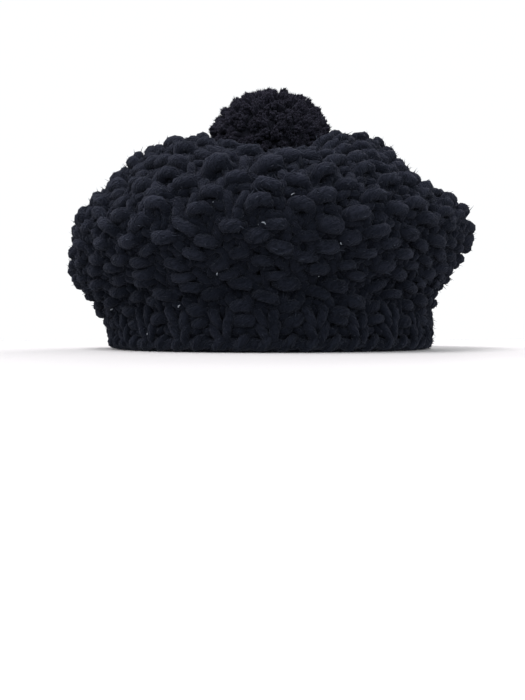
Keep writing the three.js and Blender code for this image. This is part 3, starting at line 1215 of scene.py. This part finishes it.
@dataclass
class Fuzz:
    """Fine wool fibres on the yarns: many short ends that lie along them and a few hairs that stand off."""

    covers: tuple[Cover, ...] = (
        Cover("band_fuzz", 11000, 100, (1.5, 4.0), SHADED_BAND_FIBRES, SHADED_BAND_YARN),
        Cover("crown_fuzz_lower", 30000, 150, (1.5, 4.5), CROWN_FIBRES, CROWN_YARN),
        Cover("crown_fuzz_upper", 30000, 150, (1.5, 4.5), CROWN_FIBRES, CROWN_YARN),
        Cover("pompom_fuzz", 24000, 300, (1.0, 2.4), POMPOM_FIBRES, POMPOM_YARN, cut=True),
    )
    middle: Triple = (0.0, 0.0, 45.0)
    facing: float = 0.2
    end_radius: float = 0.28
    end_lean: Pair = (0.1, 0.6)
    end_stray: float = 0.35
    end_turn: float = 0.2
    end_sink: float = 0.15
    end_floor: float = 0.15
    tone_apart: float = 400.0
    hair_length: Pair = (1.2, 4.2)
    hair_radius: float = 0.05
    hair_rings: int = 3
    hair_taper: float = 0.4
    hair_stray: float = 0.9
    hair_bend: float = 0.35
    hair_sink: float = 0.3
    hair_floor: float = 0.3
    spin: Spin = Spin(3, 5.0)
    random: np.random.Generator = seeded(23)

    def places(self, yarn: MeshArrays, count: int, facing: float) -> tuple[Array, ...]:
        """Choose random places on the faces that look out of the hat.

        Args:
            yarn: The yarn.
            count: How many places.
            facing: The least cosine between a face's direction and the way out of the hat.

        Returns:
            Points, directions out of the yarn, directions along it, places on the yarn, and shade crests,
            which carry the yarn's painted shade onto the fibres.
        """
        out = unit(yarn.spokes[yarn.quads].mean(axis=1))
        outward = unit(yarn.points[yarn.quads].mean(axis=1) - np.array(self.middle))
        open_faces = np.flatnonzero((out * outward).sum(axis=1) > facing)
        chosen = yarn.quads[self.random.choice(open_faces, count)]
        across, along = self.random.uniform(size=(2, count, 1))
        before, behind = 1 - across, 1 - along
        share = np.stack([before * behind, across * behind, across * along, before * along], axis=1)

        def spread(values: Array) -> Array:
            """Mix the values of a face's four corners."""
            return (values[chosen] * share).sum(axis=1)

        points, place, crest = spread(yarn.points), spread(yarn.place), spread(yarn.crest[:, None])[:, 0]
        return points, unit(spread(yarn.spokes)), unit(spread(yarn.runs)), place, crest

    def ends(self, yarn: MeshArrays, cover: Cover) -> MeshArrays:
        """Set short straight fibre ends on the yarn, each a slim three-sided point closed at its foot.

        An end lies along the yarn, either way, and leans out of it. On cut yarn it points to the cut. Each
        has a far-off place on the yarn, so that its tone is its own.

        Args:
            yarn: The yarn.
            cover: How many ends, how long, and whether the yarn is cut.

        Returns:
            The ends.
        """
        count = cover.ends
        base, out, run, place, crest = self.places(yarn, count, -1.0 if cover.cut else self.facing)
        way = self.random.choice([1.0 if cover.cut else -1.0, 1.0], (count, 1))
        lean = self.random.uniform(*self.end_lean, (count, 1))
        slant = unit(way * run + lean * out + self.end_stray * self.random.normal(size=out.shape))
        base = base - self.end_sink * out
        tip = base + slant * self.random.uniform(*cover.length, (count, 1))
        first = unit(np.cross(slant, out + self.end_turn * run))
        foot = spokes_round(3, first, np.cross(slant, first))
        points = np.concatenate([base[:, None] + self.end_radius * foot, tip[:, None]], axis=1)
        keep_above(points, self.end_floor)
        corner = np.array([[0, 1, 3], [1, 2, 3], [2, 0, 3], [2, 1, 0]])
        triangles = corner[None] + 4 * np.arange(count)[:, None, None]
        return MeshArrays(
            points.reshape(-1, 3),
            NO_QUADS,
            triangles.reshape(-1, 3),
            np.repeat(place + self.random.uniform(0, self.tone_apart, place.shape), 4, axis=0),
            np.repeat(out, 4, axis=0),
            np.repeat(slant, 4, axis=0),
            np.repeat(crest, 4),
        )

    def hairs(self, yarn: MeshArrays, count: int) -> MeshArrays:
        """Grow hairs from random places of the yarn's outer side.

        A hair starts just inside the yarn, leaves it along a slanted direction and bends aside with the
        square of its length.

        Args:
            yarn: The yarn.
            count: How many hairs.

        Returns:
            The hairs.
        """
        base, out, *_ = self.places(yarn, count, self.facing)
        slant = unit(out + self.hair_stray * self.random.normal(size=out.shape))
        aside = np.cross(slant, self.random.normal(size=out.shape))
        size = self.random.uniform(*self.hair_length, (count, 1, 1))
        t = np.linspace(0, 1, self.hair_rings)[:, None]
        curve = t * slant[:, None] + self.hair_bend * t**2 * aside[:, None]
        path = base[:, None] - self.hair_sink * out[:, None] + size * curve
        keep_above(path, self.hair_floor)
        taper = np.linspace(1, self.hair_taper, self.hair_rings)
        return open_tubes(path, self.hair_radius * taper * np.ones((count, 1)), self.spin)

    def build(self, yarns: list[MeshArrays]) -> None:
        """Make the fibres of the band, the crown and the pompom.

        Args:
            yarns: The yarns, in the order of the covers.
        """
        for cover, yarn in zip(self.covers, yarns):
            fuzz = MeshArrays.joined([self.ends(yarn, cover), self.hairs(yarn, cover.hairs)])
            attach(fuzz.to_object(cover.name, cover.finish.material), cover.slot.name)


@dataclass(frozen=True)
class Softbox:
    """A square soft light: its place and size in metres, its power in watts and its tint."""

    name: str
    place: Triple
    size: float
    power: float
    tint: Triple = (1.0, 0.945, 0.975)
    aim: Triple = (0.0, 0.0, 0.07)

    def hang(self) -> None:
        """Make the light and turn it to the hat."""
        data = bpy.data.lights.new(self.name, "AREA")
        data.size = self.size
        data.energy = self.power
        data.color = self.tint
        lamp = bpy.data.objects.new(self.name, data)
        lamp.location = self.place
        lamp.rotation_euler = (Vector(self.aim) - Vector(self.place)).to_track_quat("-Z", "Y").to_euler()
        bpy.context.scene.collection.objects.link(lamp)


@dataclass(frozen=True)
class Studio:
    """A pale floor that fades into a white backdrop, soft lights, and a camera just above the rim."""

    camera_distance: float = 0.348
    camera_height: float = 0.008
    clip_start: float = 0.01
    lens: float = 27.0
    sensor: float = 36.0
    image_long_side: float = 700.0
    image_short_side: float = 525.0
    shift_right_px: float = 8.5
    shift_up_px: float = 14.0
    floor_half: float = 2.4
    floor_fade: Pair = (0.25, 0.9)
    floor_dark: Triple = (0.78, 0.785, 0.785)
    floor_pale: Triple = (0.81, 0.815, 0.81)
    floor_grain: float = 3.0
    floor_detail: float = 2.0
    floor_roughness: float = 0.7
    floor_specular: float = 0.2
    backdrop: float = 1.02
    room: float = 0.48
    room_tint: Triple = (0.98, 0.99, 1.0)
    softboxes: tuple[Softbox, ...] = (
        Softbox("key_softbox", (-0.52, -0.55, 1.7), 0.8, 23.5),
        Softbox("fill_softbox", (0.15, -1.7, 0.3), 1.4, 9.7, (0.93, 1.0, 1.05)),
        Softbox("back_softbox", (0.3, 1.6, 1.2), 1.2, 16.0),
        Softbox("left_softbox", (-1.6, 0.1, 0.6), 1.0, 6.6),
        Softbox("right_softbox", (1.6, 0.1, 0.6), 1.0, 5.5),
    )

    def floor(self) -> None:
        """Make the floor: one wide level face, less and less solid away from the hat."""
        side = np.array([-self.floor_half, self.floor_half]) / MM
        x, y = np.meshgrid(side, side, indexing="ij")
        points = np.stack([x, y, 0 * x], axis=-1).reshape(-1, 3)
        shader = Shader(bpy.data.materials.new("pale_floor"))
        place = shader.value("ShaderNodeTexCoord", output="Object")
        grain = shader.noise(place, self.floor_grain, self.floor_detail)
        far = shader.value("ShaderNodeVectorMath", {"operation": "LENGTH"}, {0: place}, output="Value")
        near, edge = self.floor_fade
        material = shader.finish(
            {
                "Base Color": shader.mix_colour(grain, self.floor_dark, self.floor_pale),
                "Roughness": self.floor_roughness,
                "Specular IOR Level": self.floor_specular,
                "Alpha": ((edge - far) * (1 / (edge - near))).clamped(),
            }
        )
        blank = 0 * points
        quad = np.array([[0, 2, 3, 1]])
        arrays = MeshArrays(points, quad, NO_TRIANGLES, blank, blank, blank, blank[:, 0])
        floor = arrays.to_object("floor", material)
        floor.visible_diffuse = False

    def lights(self) -> None:
        """Hang the soft lights, and light the surroundings dimly behind the white that the camera sees."""
        for softbox in self.softboxes:
            softbox.hang()
        world = bpy.data.worlds.new("studio")
        shader = Shader(world)
        seen = shader.value("ShaderNodeLightPath", output="Is Camera Ray")
        strength = self.room + (self.backdrop - self.room) * seen
        light = {"Color": (*self.room_tint, 1), "Strength": strength}
        sky = shader.value("ShaderNodeBackground", None, light)
        shader.node("ShaderNodeOutputWorld", None, {"Surface": sky})
        bpy.context.scene.world = world
        bpy.context.scene.view_settings.view_transform = "Standard"

    def camera(self) -> None:
        """Set the camera in front of the hat, level, a little above the floor."""
        data = bpy.data.cameras.new("camera")
        data.lens = self.lens
        data.sensor_width = self.sensor
        data.shift_x = -self.shift_right_px / self.image_long_side
        data.shift_y = -self.shift_up_px / self.image_long_side
        data.clip_start = self.clip_start
        camera = bpy.data.objects.new("camera", data)
        camera.location = (0, -self.camera_distance, self.camera_height)
        camera.rotation_euler = (math.pi / 2, 0, 0)
        bpy.context.scene.collection.objects.link(camera)
        bpy.context.scene.camera = camera

    def picture(self, points: Array, spokes: Array) -> tuple[Array, Array, Array]:
        """Find where points in millimetres show in the picture.

        Args:
            points: The points.
            spokes: The surface's direction at each.

        Returns:
            Pixels from the picture's top left, depths in millimetres, and how far each faces the camera.
        """
        seen = points - np.array([0.0, -self.camera_distance, self.camera_height]) / MM
        focal = self.lens / self.sensor * self.image_long_side
        across = self.image_short_side / 2 + self.shift_right_px + focal * seen[:, 0] / seen[:, 1]
        down = self.image_long_side / 2 - self.shift_up_px - focal * seen[:, 2] / seen[:, 1]
        facing = -(unit(seen) * spokes).sum(axis=1)
        return np.stack([across, down], axis=1), seen[:, 1], facing

    def build(self) -> None:
        """Set up the floor, the lights and the camera."""
        self.camera()
        self.floor()
        self.lights()


@dataclass
class Lint:
    """Specks of pale lint caught on the yarn: those that the picture shows, and a few round the hat."""

    studio: Studio
    seen_px: tuple[Pair, ...] = (
        (213, 203), (261, 226), (265, 222), (337, 245), (219, 275), (317, 277), (175, 306), (110, 312),
        (293, 195), (146, 334),
    )
    search_px: float = 4.0
    search_depth: float = 2.0
    others: int = 16
    others_above: float = 25.0
    others_outward: float = 90.0
    others_facing: float = 0.2
    radius: Pair = (0.25, 0.35)
    taper: float = 2.4
    length: Pair = (0.9, 2.2)
    curl: float = 0.9
    lift: float = 0.6
    rings: int = 5
    spin: Spin = Spin(5, 5.0)
    random: np.random.Generator = seeded(31)

    def carriers(self, yarn: MeshArrays) -> Array:
        """Find the yarn's vertices that carry the specks.

        For a place in the picture it is the vertex that faces the camera most among the front ones near it.
        The others are drawn from high vertices that look out of the hat and away from the camera.

        Args:
            yarn: The yarn.

        Returns:
            The vertices' numbers.
        """
        pixels, depth, facing = self.studio.picture(yarn.points, yarn.spokes)
        found = []
        for place in self.seen_px:
            close = np.linalg.norm(pixels - np.array(place), axis=1) < self.search_px
            front = close & (depth < depth[close].min() + self.search_depth)
            found.append(int(np.argmax(np.where(front, facing, -1))))
        high = yarn.points[:, 2] > self.others_above
        outward = (yarn.points * yarn.spokes).sum(axis=1) > self.others_outward
        away = facing < self.others_facing
        found.extend(self.random.choice(np.flatnonzero(high & outward & away), self.others))
        return np.array(found)

    def build(self, yarn: MeshArrays) -> None:
        """Lay a small tube on each place, curled aside by the square of its length and thinner at its ends.

        Args:
            yarn: The yarn of the band and the crown.
        """
        chosen = self.carriers(yarn)
        count = len(chosen)
        out = yarn.spokes[chosen]
        lie = unit(np.cross(out, self.random.normal(size=out.shape)))
        aside = np.cross(out, lie)
        t = np.linspace(-0.5, 0.5, self.rings)[:, None]
        length = self.random.uniform(*self.length, (count, 1, 1))
        curve = t * lie[:, None] + self.curl * t**2 * aside[:, None]
        path = yarn.points[chosen][:, None] + self.lift * out[:, None] + length * curve
        radius = self.random.uniform(*self.radius, (count, 1)) * (1 - self.taper * t[:, 0] ** 2)
        arrays = open_tubes(path, radius, self.spin)
        attach(arrays.to_object("lint_specks", LINT.material), CROWN_YARN.name)


def main() -> None:
    """Build the studio and the hat's pieces in order."""
    logging.basicConfig(level=logging.INFO, format="%(name)s %(message)s")
    form = HatForm()
    studio = Studio()
    studio.build()
    knit = Knit(form)
    LOG.info("stitches in a wedge, course by course: %s", knit.counts)
    yarns = knit.build()
    strands = Pompom(form).build()
    Tie().build()
    Fuzz().build([*yarns, strands])
    Lint(studio).build(MeshArrays.joined(yarns))


if __name__ == "__main__":
    main()
